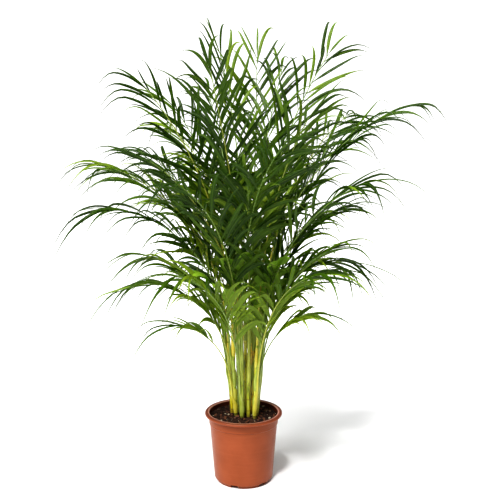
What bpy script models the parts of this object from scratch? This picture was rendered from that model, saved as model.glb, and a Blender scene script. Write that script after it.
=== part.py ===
"""Potted golden-cane palm: a clump of canes with arching feather fronds in a round nursery pot.

Metres, +Z up. The origin is on the pot's axis, on the surface that the pot stands on. Azimuths
are degrees from +X, counter-clockwise seen from above, so -90 is the front of the plant.
"""

import math

import bmesh
import bpy
from mathutils import Matrix, Vector
from mathutils.bvhtree import BVHTree

GAP = 0.0004                # clearance between neighbouring pieces
MERGE = 0.00001             # distance under which two vertices are one

# Pot
POT_HEIGHT = 0.215
POT_FACETS = 40             # also the facets of the soil, so that the two stay concentric
RIM_RADIUS = 0.120
LIP_WIDTH = 0.0115          # overhang of the rolled lip past the collar
LIP_HEIGHT = 0.009
COLLAR_HEIGHT = 0.034       # from the rim down to the shoulder
COLLAR_TAPER = 0.0015
SHOULDER_STEP = 0.0025
HEEL_RADIUS = 0.0915
HEEL_HEIGHT = 0.018
HEEL_ROUND = 0.0055
FOOT_INSET = 0.0075         # foot ring inside the heel
FOOT_WIDTH = 0.006
FOOT_HEIGHT = 0.007
PAD_RADIUS = 0.014          # pad in the middle of the underside, level with the foot ring
POT_WALL = 0.0024
POT_FLOOR = 0.003
NOTCHES = 6
NOTCH_WIDTH = 0.023
NOTCH_HEIGHT = 0.011
NOTCH_DEPTH = 0.013         # how far a notch runs in under the floor from the foot ring
NOTCH_AZIMUTH = -108.4      # of the first drain notch

# Soil
SOIL_DROP = 0.0165          # soil's edge below the rim
SOIL_DOME = 0.004
ROOT_DEPTH = 0.060          # how deep the canes stand in the soil

# Canes
CANES = 13
CANE_SIDES = 12
CLUMP_RADIUS = 0.046        # of the clump at the soil, to the cane centres
CLUMP_OFFSET = 0.007        # the clump stands this far to the right of the pot's axis
CLUMP_TURN = 96.0
CLUMP_SPLAY = 3.2           # lean of the outermost cane, degrees
CANE_FOOT_RADIUS = 0.0075
CANE_TOP_RADIUS = 0.0050
INNER_CANE_TOP = 0.555      # height of a cane in the middle
OUTER_CANE_TOP = 0.435      # height of a cane at the edge of the clump
GOLDEN_ANGLE = 180.0 * (3.0 - math.sqrt(5.0))

# Fronds
PETIOLE_SHARE = 0.38        # bare part of a long frond's length
SHORT_PETIOLE = 0.50        # bare part per metre of length, on a short frond
PETIOLE_RINGS = 4
PETIOLE_RADIUS = 0.0038
TIP_RADIUS = 0.0013
LEAFLET_STEP = 0.0195       # along the stalk, between a left leaflet and the next right one
LEAFLET_LENGTH = 0.235
LEAFLET_WIDTH = 0.016
LEAFLET_THICKNESS = 0.0016
BEND_POWER = 1.25            # how late along the stalk a frond bends over
STALK_SEAT = 0.012          # a side stalk starts at least this far below the cane's end
STALK_CLEARANCE = 0.0006    # kept between the stalks of different fronds
LEAFLET_CLEARANCE = 0.0006  # kept all round each leaflet

# Leaflet lift and sweep at the foot and at the tip of the feather, degrees
FOOT_SWEEP = 60.0
TIP_SWEEP = 24.0
FOOT_LIFT = 34.0
TIP_LIFT = 12.0
UPRIGHT_DROOP = 0.14        # drop of a leaflet's tip on an upright frond, as a share of its length
ARCHING_DROOP = 0.46        # and on a frond that bends over by a right angle

# One row for each frond that grows from the top of a cane: azimuth, length, bend, swing,
# twist.
LEADERS = (
    (132.0, 0.80, 17.0, 12.0, 0.0),
    (86.0, 0.86, 20.0, 4.0, 0.0),
    (18.0, 0.86, 34.0, 6.0, 60.0),
    (-113.0, 0.76, 44.0, 14.0, 0.0),
    (187.0, 0.78, 38.0, 13.0, -60.0),
    (156.0, 0.70, 36.0, 10.0, -40.0),
    (134.0, 0.82, 66.0, -12.0, 0.0),
    (40.0, 0.86, 62.0, 10.0, 20.0),
    (-3.0, 0.82, 62.0, 0.0, 0.0),
    (190.0, 0.66, 66.0, 8.0, 0.0),
    (62.0, 0.84, 40.0, 10.0, 0.0),
    (102.0, 0.84, 52.0, -8.0, 0.0),
    (-62.0, 0.72, 38.0, 10.0, 0.0),
)

# One row for each frond that grows from the side of a cane: azimuth, height of its base,
# length, bend, swing, twist.
SIDE_FRONDS = (
    (172.0, 0.420, 0.68, 68.0, -8.0, 0.0),
    (188.0, 0.400, 0.62, 80.0, 4.0, 0.0),
    (170.0, 0.380, 0.48, 76.0, -6.0, 0.0),
    (178.0, 0.340, 0.44, 88.0, 0.0, 0.0),
    (186.0, 0.310, 0.31, 74.0, 0.0, 0.0),
    (-4.0, 0.420, 0.70, 46.0, -8.0, 20.0),
    (12.0, 0.400, 0.55, 64.0, 0.0, 0.0),
    (-16.0, 0.380, 0.47, 60.0, 0.0, 0.0),
    (8.0, 0.350, 0.48, 90.0, -6.0, 0.0),
    (28.0, 0.360, 0.48, 90.0, 6.0, 0.0),
    (4.0, 0.310, 0.28, 72.0, 0.0, 0.0),
    (-74.0, 0.410, 0.72, 58.0, 12.0, 0.0),
    (-112.0, 0.385, 0.66, 64.0, -10.0, 0.0),
    (-142.0, 0.400, 0.70, 62.0, 10.0, 0.0),
    (-36.0, 0.380, 0.68, 66.0, -8.0, 0.0),
    (-60.0, 0.335, 0.50, 70.0, 8.0, 0.0),
    (-124.0, 0.330, 0.52, 74.0, -8.0, 0.0),
    (-92.0, 0.400, 0.60, 46.0, 0.0, 0.0),
    (70.0, 0.400, 0.78, 70.0, -8.0, 0.0),
    (110.0, 0.400, 0.80, 74.0, 8.0, 0.0),
    (142.0, 0.380, 0.70, 78.0, -10.0, 0.0),
    (52.0, 0.350, 0.66, 78.0, 8.0, 0.0),
    (90.0, 0.330, 0.58, 78.0, -8.0, 0.0),
    (126.0, 0.305, 0.50, 76.0, 8.0, 0.0),
    (156.0, 0.420, 0.74, 60.0, 8.0, 0.0),
)

# Young leaves low in front, with a few broad leaflets: azimuth, height of the base, length,
# bend, swing, twist.
YOUNG_LEAVES = (
    (-98.0, 0.385, 0.27, 34.0, 0.0, 0.0),
    (-66.0, 0.400, 0.26, 40.0, 6.0, 0.0),
    (-128.0, 0.395, 0.28, 44.0, -6.0, 0.0),
    (-40.0, 0.405, 0.25, 36.0, 0.0, 0.0),
)
YOUNG_PETIOLE_SHARE = 0.50
YOUNG_LEAFLET_WIDTH = 0.024
YOUNG_LEAFLET_LENGTH = 0.135
YOUNG_LEAFLETS = 6

PLANT = "Potted palm"
UP = Vector((0.0, 0.0, 1.0))


def remove_everything():
    for obj in list(bpy.data.objects):
        bpy.data.objects.remove(obj, do_unlink=True)


def new_collection(name):
    collection = bpy.data.collections.new(name)
    bpy.context.scene.collection.children.link(collection)
    return collection


def new_material(name, colour, roughness):
    material = bpy.data.materials.new(name)
    material.use_nodes = True
    shader = material.node_tree.nodes["Principled BSDF"]
    shader.inputs["Base Color"].default_value = (*colour, 1.0)
    shader.inputs["Roughness"].default_value = roughness
    shader.inputs["Metallic"].default_value = 0.0
    material.diffuse_color = (*colour, 1.0)
    return material


def new_object(name, bm, collection, material=None):
    """Turn a bmesh into an object of the collection."""
    mesh = bpy.data.meshes.new(name)
    bm.to_mesh(mesh)
    bm.free()
    obj = bpy.data.objects.new(name, mesh)
    collection.objects.link(obj)
    if material:
        mesh.materials.append(material)
    return obj


def new_cutter(name, bm, collection):
    cutter = new_object(name, bm, collection)
    cutter.hide_render = True
    cutter.display_type = "WIRE"
    return cutter


def cut(obj, cutter):
    modifier = obj.modifiers.new("Cut", "BOOLEAN")
    modifier.operation = "DIFFERENCE"
    modifier.solver = "EXACT"
    modifier.object = cutter


def turned(name, profile, collection, material):
    """A solid of revolution about Z from (radius, height) points, down the outer side."""
    bm = bmesh.new()
    verts = [bm.verts.new((radius, 0.0, height)) for radius, height in profile]
    for first, second in zip(verts, verts[1:]):
        bm.edges.new((first, second))
    obj = new_object(name, bm, collection, material)
    screw = obj.modifiers.new("Turn", "SCREW")
    screw.axis = "Z"
    screw.angle = math.tau
    screw.steps = POT_FACETS
    screw.render_steps = POT_FACETS
    screw.use_merge_vertices = True
    screw.merge_threshold = MERGE
    screw.use_smooth_shade = True
    return obj


def arc(centre_radius, centre_height, radius, start, end, count):
    """Points of a profile along an arc, with angles in degrees from straight outward."""
    angles = [math.radians(start + (end - start) * k / count) for k in range(count + 1)]
    return [
        (centre_radius + radius * math.cos(angle), centre_height + radius * math.sin(angle))
        for angle in angles
    ]


# Pot and soil


def collar_radius(height):
    """Outer radius of the collar, which widens a little towards the rim."""
    below = (POT_HEIGHT - height) / COLLAR_HEIGHT
    return RIM_RADIUS - LIP_WIDTH - COLLAR_TAPER * below


def pot_floor():
    return FOOT_HEIGHT + POT_FLOOR


def pot_inside():
    """The inner face of the pot, from the shoulder down to the edge of the floor."""
    shoulder = POT_HEIGHT - COLLAR_HEIGHT
    radius = collar_radius(shoulder)
    return [
        (radius - POT_WALL, shoulder),
        (radius - SHOULDER_STEP - POT_WALL, shoulder - SHOULDER_STEP),
        (HEEL_RADIUS - POT_WALL, HEEL_HEIGHT),
        (HEEL_RADIUS - HEEL_ROUND, pot_floor()),
    ]


def pot_profile():
    shoulder = POT_HEIGHT - COLLAR_HEIGHT
    radius = collar_radius(shoulder)
    lip = LIP_HEIGHT / 2.0
    foot = HEEL_RADIUS - FOOT_INSET
    inside = [(0.0, pot_floor()), *reversed(pot_inside())]
    rim = [
        (collar_radius(POT_HEIGHT) - POT_WALL, POT_HEIGHT - POT_WALL),
        (collar_radius(POT_HEIGHT), POT_HEIGHT),
        *arc(RIM_RADIUS - lip, POT_HEIGHT - lip, lip, 90.0, -90.0, 4),
        (collar_radius(POT_HEIGHT - LIP_HEIGHT), POT_HEIGHT - LIP_HEIGHT),
    ]
    outside = [
        (radius, shoulder),
        (radius - SHOULDER_STEP, shoulder - SHOULDER_STEP),
        (HEEL_RADIUS, HEEL_HEIGHT),
        (HEEL_RADIUS - HEEL_ROUND * 0.3, FOOT_HEIGHT + HEEL_ROUND * 0.7),
        (HEEL_RADIUS - HEEL_ROUND, FOOT_HEIGHT),
        (foot, FOOT_HEIGHT),
        (foot, 0.0),
        (foot - FOOT_WIDTH, 0.0),
        (foot - FOOT_WIDTH, FOOT_HEIGHT),
        (PAD_RADIUS, FOOT_HEIGHT),
        (PAD_RADIUS, 0.0),
        (0.0, 0.0),
    ]
    return inside + rim + outside


def make_pot(collection, cutters, material):
    pot = turned("pot", pot_profile(), collection, material)
    foot = HEEL_RADIUS - FOOT_INSET
    inner = foot - NOTCH_DEPTH
    outer = RIM_RADIUS
    bm = bmesh.new()
    for k in range(NOTCHES):
        turn = math.radians(NOTCH_AZIMUTH + 360.0 * k / NOTCHES)
        size = Matrix.Diagonal((outer - inner, NOTCH_WIDTH, 2.0 * NOTCH_HEIGHT, 1.0))
        place = Matrix.Translation(((outer + inner) / 2.0, 0.0, 0.0))
        bmesh.ops.create_cube(bm, size=1.0, matrix=Matrix.Rotation(turn, 4, "Z") @ place @ size)
    cut(pot, new_cutter("notch_cutters", bm, cutters))
    return pot


def soil_edge():
    return POT_HEIGHT - SOIL_DROP


def soil_profile():
    top = soil_edge()
    radius = collar_radius(top) - POT_WALL - GAP
    wall = [(inside - GAP, height + GAP) for inside, height in pot_inside() if height < top]
    dome = [
        (0.0, top + SOIL_DOME),
        (radius * 0.55, top + SOIL_DOME * 0.8),
        (radius * 0.85, top + SOIL_DOME * 0.3),
        (radius, top),
    ]
    return dome + wall + [(0.0, pot_floor() + GAP)]


def make_soil(collection, cutters, material, canes):
    """The root ball, with a socket for each cane."""
    soil = turned("soil", soil_profile(), collection, material)
    bm = bmesh.new()
    for cane in canes:
        cane_cone(bm, cane, GAP, -GAP, ROOT_DEPTH + 3.0 * SOIL_DOME, cane["matrix"])
    cut(soil, new_cutter("socket_cutters", bm, cutters))
    return soil


# Canes


def wobble(*keys):
    """A repeatable number from -1 to 1 for each set of keys."""
    mixed = sum((k + 1) * 12.9898 * (n + 1) ** 2 for n, k in enumerate(keys))
    return 2.0 * ((math.sin(mixed) * 43758.5453) % 1.0) - 1.0


def flat(azimuth):
    """The level unit vector at an azimuth in degrees."""
    return Vector((math.cos(math.radians(azimuth)), math.sin(math.radians(azimuth)), 0.0))


def cane_layout():
    """Where each cane stands, how it leans and how tall it is, spread like a seed head."""
    canes = []
    for k in range(CANES):
        share = math.sqrt((k + 0.5) / CANES)
        azimuth = CLUMP_TURN + GOLDEN_ANGLE * k
        lean = math.radians(CLUMP_SPLAY * share)
        along = (UP * math.cos(lean) + flat(azimuth) * math.sin(lean)).normalized()
        top = INNER_CANE_TOP + (OUTER_CANE_TOP - INNER_CANE_TOP) * share + 0.012 * wobble(k, 3)
        at_soil = Vector((CLUMP_OFFSET, 0.0, soil_edge())) + flat(azimuth) * (CLUMP_RADIUS * share)
        foot = at_soil - along * (ROOT_DEPTH / along.z)
        turn = UP.rotation_difference(along).to_matrix().to_4x4()
        canes.append({
            "azimuth": azimuth,
            "share": share,
            "along": along,
            "foot": foot,
            "length": (top - foot.z) / along.z,
            "matrix": Matrix.Translation(foot) @ turn,
        })
    return canes


def cane_radius(cane, distance):
    """Radius of a cane at a distance along it from its foot."""
    share = distance / cane["length"]
    return CANE_FOOT_RADIUS + (CANE_TOP_RADIUS - CANE_FOOT_RADIUS) * share


def cane_cone(bm, cane, grow, start, end, matrix):
    """A length of the cane's cone from start to end along it, grown outward all round."""
    bmesh.ops.create_cone(
        bm,
        cap_ends=True,
        cap_tris=False,
        segments=CANE_SIDES,
        radius1=cane_radius(cane, start) + grow,
        radius2=cane_radius(cane, end) + grow,
        depth=end - start,
        matrix=matrix @ Matrix.Translation((0.0, 0.0, (start + end) / 2.0)),
    )


def make_cane(name, cane, collection, material):
    bm = bmesh.new()
    cane_cone(bm, cane, 0.0, 0.0, cane["length"], Matrix.Identity(4))
    obj = new_object(name, bm, collection, material)
    obj.matrix_world = cane["matrix"]
    obj.data.shade_smooth()
    obj.data.set_sharp_from_angle(angle=math.radians(50.0))
    return obj


# Clearance between solids


def solid(points, faces):
    """A shape for clearance tests: its tree and the corners of its box."""
    low = [min(point[axis] for point in points) for axis in range(3)]
    high = [max(point[axis] for point in points) for axis in range(3)]
    return BVHTree.FromPolygons(points, faces), low, high


def clear_of(shape, others):
    tree, low, high = shape
    for other, other_low, other_high in others:
        apart = any(high[n] < other_low[n] or other_high[n] < low[n] for n in range(3))
        if not apart and tree.overlap(other):
            return False
    return True


def loft_faces(rings, count):
    """Triangles that join rings of count points, with both ends closed.

    Each four-sided face is split both ways, because its corners may not lie in one plane.
    """
    quads = []
    for first in range(0, (rings - 1) * count, count):
        for k in range(count):
            following = (k + 1) % count
            quads.append((first + k, first + following, first + count + following, first + count + k))
    triangles = []
    for a, b, c, d in quads:
        triangles += [(a, b, c), (a, c, d), (a, b, d), (b, c, d)]
    for end in (0, (rings - 1) * count):
        triangles += [(end, end + k, end + k + 1) for k in range(1, count - 1)]
    return triangles


def cane_solid(cane):
    points = []
    for distance in (0.0, cane["length"]):
        radius = cane_radius(cane, distance)
        for k in range(CANE_SIDES):
            around = flat(360.0 * k / CANE_SIDES) * radius + UP * distance
            points.append(cane["matrix"] @ around)
    return solid(points, loft_faces(2, CANE_SIDES))


# Stalks of the fronds


def stalk_course(base, along, facing, row, shares):
    """Frames down a stalk: a point, its direction, its upper side and its right-hand side."""
    length = row["length"]
    frames = []
    steps = 60
    point = base.copy()
    done = 0
    for share in shares:
        while done < round(share * steps):
            middle = (done + 0.5) / steps
            point = point + stalk_direction(along, facing, row, middle)[0] * (length / steps)
            done += 1
        rest = share * length - done * length / steps
        direction, up, side = stalk_direction(along, facing, row, share)
        frames.append((point + direction * rest, direction, up, side))
    return frames


def stalk_direction(along, facing, row, share):
    """Direction, upper side and right-hand side of a stalk at a share of its length."""
    outward = flat(facing + row["swing"] * share * share)
    outward = (outward - along * outward.dot(along)).normalized()
    angle = math.radians(row["bend"]) * share ** BEND_POWER
    direction = along * math.cos(angle) + outward * math.sin(angle)
    up = along * math.sin(angle) - outward * math.cos(angle)
    side = direction.cross(up)
    twist = math.radians(row["twist"]) * min(1.0, share / PETIOLE_SHARE)
    up = up * math.cos(twist) + side * math.sin(twist)
    return direction, up, direction.cross(up)


def ring(frame, radius):
    """Corners of the three-sided stalk: its ridge, its right edge and its left edge."""
    point, _, up, side = frame
    low = up * (radius * 0.5)
    return [point + up * radius, point + side * radius - low, point - side * radius - low]


def stalk_radius(share):
    return PETIOLE_RADIUS + (TIP_RADIUS - PETIOLE_RADIUS) * share ** 0.8


def stalk_solid(frames, shares, grow, first=0):
    points = []
    for frame, share in list(zip(frames, shares))[first:]:
        points.extend(ring(frame, stalk_radius(share) + grow))
    return solid(points, loft_faces(len(frames) - first, 3))


def stalk_shares(length, young):
    """Shares of the length at which the stalk has rings: a few bare, then one a leaflet."""
    bare = YOUNG_PETIOLE_SHARE if young else min(PETIOLE_SHARE, SHORT_PETIOLE * length)
    count = YOUNG_LEAFLETS if young else 2 * round(length * (1.0 - bare) / LEAFLET_STEP / 2.0)
    petiole = [bare * k / PETIOLE_RINGS for k in range(PETIOLE_RINGS)]
    return petiole + [bare + (1.0 - bare) * k / count for k in range(count + 1)]


def angle_between(first, second):
    return abs((first - second + 180.0) % 360.0 - 180.0)


def rank_canes(canes, azimuth, load, leader):
    """Canes in order of how well they face the azimuth; side fronds take the outer canes first."""
    def cost(k):
        cane = canes[k]
        facing = angle_between(cane["azimuth"], azimuth) * cane["share"]
        if leader:
            return facing + 1000.0 * load[k]
        inner = 60.0 if cane["share"] < 0.6 else 0.0
        return facing + 22.0 * load[k] + inner
    return sorted(range(len(canes)), key=cost)


def stalk_base(cane, height, azimuth):
    """Where a stalk starts: on the end of the cane for height 0, or else against its side."""
    along = cane["along"]
    if height == 0.0:
        return cane["matrix"] @ Vector((0.0, 0.0, cane["length"] + GAP))
    distance = min((height - cane["foot"].z) / along.z, cane["length"] - STALK_SEAT)
    outward = flat(azimuth)
    outward = (outward - along * outward.dot(along)).normalized()
    offset = cane_radius(cane, distance) + GAP + PETIOLE_RADIUS
    return cane["foot"] + along * distance + outward * offset


def stalk_tries(leader):
    """Turns, lifts and cane ranks for a stalk, in the order in which they are tried."""
    lifts = (0.0,) if leader else (0.0, 0.02, -0.02, 0.04, -0.04)
    for rank in (0,) if leader else (0, 1, 2):
        for turn in (0.0, 5.0, -5.0, 10.0, -10.0, 16.0, -16.0, 22.0, -22.0, 30.0, -30.0):
            for lift in lifts:
                yield turn, lift, rank


def grow_stalk(row, canes, leader_load, side_load, trees, young):
    """Find room for one frond's stalk and return its frond, a dictionary."""
    leader = row["height"] == 0.0
    load = leader_load if leader else side_load
    shares = stalk_shares(row["length"], young)
    for turn, lift, rank in stalk_tries(leader):
        facing = row["azimuth"] + turn
        k = rank_canes(canes, row["azimuth"], load, leader)[rank]
        base = stalk_base(canes[k], row["height"] + lift, facing)
        frames = stalk_course(base, canes[k]["along"], facing, row, shares)
        wide = stalk_solid(frames, shares, STALK_CLEARANCE)
        own = stalk_solid(frames, shares, GAP / 2.0)
        others = [tree for name, tree in trees.items() if name != ("cane", k)]
        near = others if leader else others + [trees["cane", k]]
        if clear_of(wide, others) and clear_of(own, near):
            load[k] += 1
            return {"frames": frames, "shares": shares, "row": row, "young": young}
    raise RuntimeError(f"no room for a stalk: {row}")


# Leaflets


def frond_vigour(frond):
    """Leaflets of a short frond are shorter than those of a long one."""
    return min(1.0, 0.55 + 0.55 * frond["row"]["length"])


def frond_droop(frond):
    """Leaflets hang more on a frond that bends over more."""
    return UPRIGHT_DROOP + (ARCHING_DROOP - UPRIGHT_DROOP) * min(1.0, frond["row"]["bend"] / 90.0)


def leaflet_shape(frond, k, side, change):
    """Middle ring and tip of the leaflet that grows between rings k and k + 1."""
    lift_change, sweep_change, scale = change
    frames = frond["frames"]
    share = (frond["shares"][k] + frond["shares"][k + 1]) / 2.0
    bare = frond["shares"][PETIOLE_RINGS]
    along_feather = (share - bare) / (1.0 - bare)
    first, second = frames[k], frames[k + 1]
    direction = (first[1] + second[1]).normalized()
    up = (first[2] + second[2]).normalized()
    outward = direction.cross(up) * side
    base = (first[0] + second[0]) / 2.0
    vary = wobble(frond["seed"], k, 1)
    sweep = FOOT_SWEEP + (TIP_SWEEP - FOOT_SWEEP) * along_feather + sweep_change + 4.0 * vary
    lift = FOOT_LIFT + (TIP_LIFT - FOOT_LIFT) * along_feather + lift_change
    lift += 5.0 * wobble(frond["seed"], k, 2)
    full = 0.62 + 0.38 * math.sin(math.pi * min(1.0, 0.22 + 0.78 * along_feather) ** 0.9)
    if frond["young"]:
        length = YOUNG_LEAFLET_LENGTH * (0.85 + 0.15 * along_feather) * scale
        width = YOUNG_LEAFLET_WIDTH
        droop = 0.10
    else:
        length = LEAFLET_LENGTH * frond_vigour(frond) * full * scale
        length *= 1.0 + 0.06 * wobble(frond["seed"], k, 4)
        width = LEAFLET_WIDTH * (0.6 + 0.4 * full)
        droop = frond_droop(frond) * (1.0 + 0.4 * wobble(frond["seed"], k, 5))
    sweep, lift = math.radians(sweep), math.radians(lift)
    across = outward * math.cos(lift) + up * math.sin(lift)
    course = direction * math.cos(sweep) + across * math.sin(sweep)
    return blade(base, course, direction, up, length, width, droop)


def end_leaflet_shape(frond, change):
    """Middle ring and tip of the leaflet that ends the stalk."""
    base, direction, up, side = frond["frames"][-1]
    young = frond["young"]
    length = (YOUNG_LEAFLET_LENGTH if young else LEAFLET_LENGTH * 0.6) * change[2]
    width = YOUNG_LEAFLET_WIDTH if young else LEAFLET_WIDTH * 0.8
    lift = math.radians(change[0])
    course = direction * math.cos(lift) + up * math.sin(lift)
    return blade(base, course, -side, up, length, width, 0.10 if young else frond_droop(frond))


def blade(base, course, front, up, length, width, droop):
    """Ridge, front edge and back edge at the middle of a leaflet, then its drooping tip."""
    middle = base + course * (length * 0.5) - UP * (droop * length * 0.25)
    tip = base + course * length - UP * (droop * length)
    slope = (tip - base).normalized()
    across = (front - slope * front.dot(slope)).normalized()
    normal = slope.cross(across)
    if normal.dot(up) < 0.0:
        normal = -normal
    rise = normal * (LEAFLET_THICKNESS / 2.0)
    half = across * (width / 2.0)
    return [middle + rise, middle + half - rise, middle - half - rise], tip


def leaflet_solid(root, middle, tip, grow, outer_only=False):
    """The leaflet grown all round, for tests, either whole or without its inner half.

    Its root has two corners on the stalk's ridge, then one at the front and one at the back.
    """
    centre = (middle[0] + middle[1] + middle[2]) / 3.0
    rise = (middle[0] - (middle[1] + middle[2]) / 2.0).normalized() * grow
    half = (middle[1] - middle[2]).normalized() * grow
    wide = [middle[0] + rise, middle[0] + rise, middle[1] + half - rise, middle[2] - half - rise]
    reach = (tip - centre).normalized() * grow
    end = [tip + reach + (corner - centre).normalized() * grow for corner in wide]
    if outer_only:
        return solid(wide + end, loft_faces(2, 4))
    root_centre = (root[0] + root[1] + root[2] + root[3]) / 4.0
    start = [corner + (corner - root_centre).normalized() * grow for corner in root]
    return solid(start + wide + end, loft_faces(3, 4))


# Lift change, sweep change and length scale, in the order in which they are tried
CHANGES = [(0.0, 0.0, 1.0)]
for scale in (1.0, 0.85, 0.7, 0.55):
    for amount in (8.0, 16.0, 26.0, 38.0):
        CHANGES += [(amount, 0.0, scale), (-amount, 0.0, scale)]
        CHANGES += [(0.0, amount * 0.6, scale), (0.0, -amount * 0.5, scale)]
        CHANGES += [(-amount, amount * 0.5, scale), (amount, -amount * 0.4, scale)]


def leaflet_root(frond, k, side, grow):
    """Corners of the stalk's face that leaflet k grows from, with the stalk grown all round.

    The faces of a three-sided stalk move out half as far as its corners, or a little more.
    """
    shares = frond["shares"]
    low = ring(frond["frames"][k], stalk_radius(shares[k]) + 2.0 * grow)
    if k == len(shares) - 1:
        return [low[0], low[0], low[2], low[1]]
    high = ring(frond["frames"][k + 1], stalk_radius(shares[k + 1]) + 2.0 * grow)
    edge = 1 if side > 0 else 2
    return [low[0], high[0], high[edge], low[edge]]


def grow_leaflets(frond, own_stalk, fixed):
    """Give the frond each leaflet that finds room, and leave off the few that don't.

    The last one ends the stalk. It returns their shapes, for the fronds that come later.
    """
    end = len(frond["shares"]) - 1
    frond["leaflets"] = {}
    whole_shapes, outer_shapes = [], []
    for k in range(PETIOLE_RINGS, end + 1):
        side = 1 if (k - PETIOLE_RINGS) % 2 == 0 else -1
        root = leaflet_root(frond, k, side, LEAFLET_CLEARANCE)
        near_root = leaflet_root(frond, k, side, GAP / 2.0)
        for change in CHANGES:
            if k == end:
                middle, tip = end_leaflet_shape(frond, change)
            else:
                middle, tip = leaflet_shape(frond, k, side, change)
            whole = leaflet_solid(root, middle, tip, LEAFLET_CLEARANCE)
            outer = leaflet_solid(root, middle, tip, LEAFLET_CLEARANCE, outer_only=True)
            core = leaflet_solid(near_root, middle, tip, GAP / 2.0)
            free = clear_of(outer, outer_shapes + [own_stalk])
            if free and clear_of(whole, fixed) and clear_of(core, fixed):
                frond["leaflets"][k] = (side, middle, tip)
                whole_shapes.append(whole)
                outer_shapes.append(outer)
                break
    return whole_shapes


# Meshes of the fronds


def extrude_to(bm, face, places):
    """Extrude a face and carry its corners to new places; corners that meet become one."""
    cap = bmesh.ops.extrude_discrete_faces(bm, faces=[face])["faces"][0]
    corners = list(cap.verts)
    for corner, place in zip(corners, places):
        corner.co = place
    bmesh.ops.remove_doubles(bm, verts=corners, dist=MERGE)
    left = [corner for corner in corners if corner.is_valid]
    return bm.faces.get(left), left


def add_leaflet(bm, face, ridges, front, middle, tip):
    """Draw a leaflet out of a face of the stalk. Its ridge corners share the leaflet's ridge."""
    places = []
    for corner in face.verts:
        if corner in ridges:
            places.append(middle[0])
        else:
            places.append(middle[1] if corner == front else middle[2])
    cap, _ = extrude_to(bm, face, places)
    bmesh.ops.poke(bm, faces=[cap])["verts"][0].co = tip


def make_frond(name, frond, collection, material):
    frames, shares = frond["frames"], frond["shares"]
    base = frames[0][0]
    bm = bmesh.new()
    bmesh.ops.create_circle(bm, cap_ends=True, segments=3, radius=1.0)
    bm.faces.ensure_lookup_table()
    face = bm.faces[0]
    corners = list(face.verts)
    for corner, place in zip(corners, ring(frames[0], stalk_radius(0.0))):
        corner.co = place
    rings = [corners]
    for frame, share in zip(frames[1:], shares[1:]):
        face, corners = extrude_to(bm, face, ring(frame, stalk_radius(share)))
        rings.append(corners)
    for k, (side, middle, tip) in frond["leaflets"].items():
        if k == len(shares) - 1:
            ridge, _, left = rings[-1]
            add_leaflet(bm, face, [ridge], left, middle, tip)
            continue
        low, high = rings[k], rings[k + 1]
        edge = 1 if side > 0 else 2
        root = bm.faces.get((low[0], high[0], high[edge], low[edge]))
        add_leaflet(bm, root, [low[0], high[0]], high[edge], middle, tip)
    bmesh.ops.holes_fill(bm, edges=bm.edges[:], sides=3)
    bmesh.ops.triangulate(bm, faces=bm.faces[:])
    bmesh.ops.recalc_face_normals(bm, faces=bm.faces[:])
    bmesh.ops.translate(bm, verts=bm.verts[:], vec=-base)
    obj = new_object(name, bm, collection, material)
    obj.location = base
    return obj


def plan_fronds(canes):
    """Every frond with its stalk and its leaflets, each clear of all the rest."""
    trees = {("cane", k): cane_solid(cane) for k, cane in enumerate(canes)}
    leader_load, side_load = [0] * CANES, [0] * CANES
    columns = ("azimuth", "height", "length", "bend", "swing", "twist")
    rows = [((azimuth, 0.0, *rest), False) for azimuth, *rest in LEADERS]
    rows += [(row, False) for row in SIDE_FRONDS]
    rows += [(row, True) for row in YOUNG_LEAVES]
    rows = [(dict(zip(columns, row)), young) for row, young in rows]
    fronds = []
    for seed, (row, young) in enumerate(rows):
        frond = grow_stalk(row, canes, leader_load, side_load, trees, young)
        frond["seed"] = seed
        trees["stalk", seed] = stalk_solid(frond["frames"], frond["shares"], 0.0)
        fronds.append(frond)
    leaflets = []
    for frond in reversed(fronds):
        own = ("stalk", frond["seed"])
        stalks = [tree for name, tree in trees.items() if name != own]
        leaflets += grow_leaflets(frond, trees[own], stalks + leaflets)
    return fronds


def main():
    remove_everything()
    parts = new_collection(PLANT)
    cutters = new_collection("Cutters")
    plastic = new_material("Pot plastic", (0.515, 0.098, 0.034), 0.38)
    earth = new_material("Potting soil", (0.045, 0.023, 0.013), 0.95)
    bark = new_material("Cane", (0.400, 0.456, 0.045), 0.45)
    green = new_material("Frond", (0.045, 0.127, 0.021), 0.42)
    light = new_material("Young leaf", (0.262, 0.485, 0.061), 0.45)
    canes = cane_layout()
    make_pot(parts, cutters, plastic)
    make_soil(parts, cutters, earth, canes)
    for k, cane in enumerate(canes):
        make_cane(f"cane_{k + 1:02d}", cane, parts, bark)
    for frond in plan_fronds(canes):
        kind = "young_leaf" if frond["young"] else "frond"
        finish = light if frond["young"] else green
        make_frond(f"{kind}_{frond['seed'] + 1:02d}", frond, parts, finish)


main()
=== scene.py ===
import itertools
import math
import random

import bmesh
import bpy
from mathutils import Matrix, Vector, noise


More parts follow.
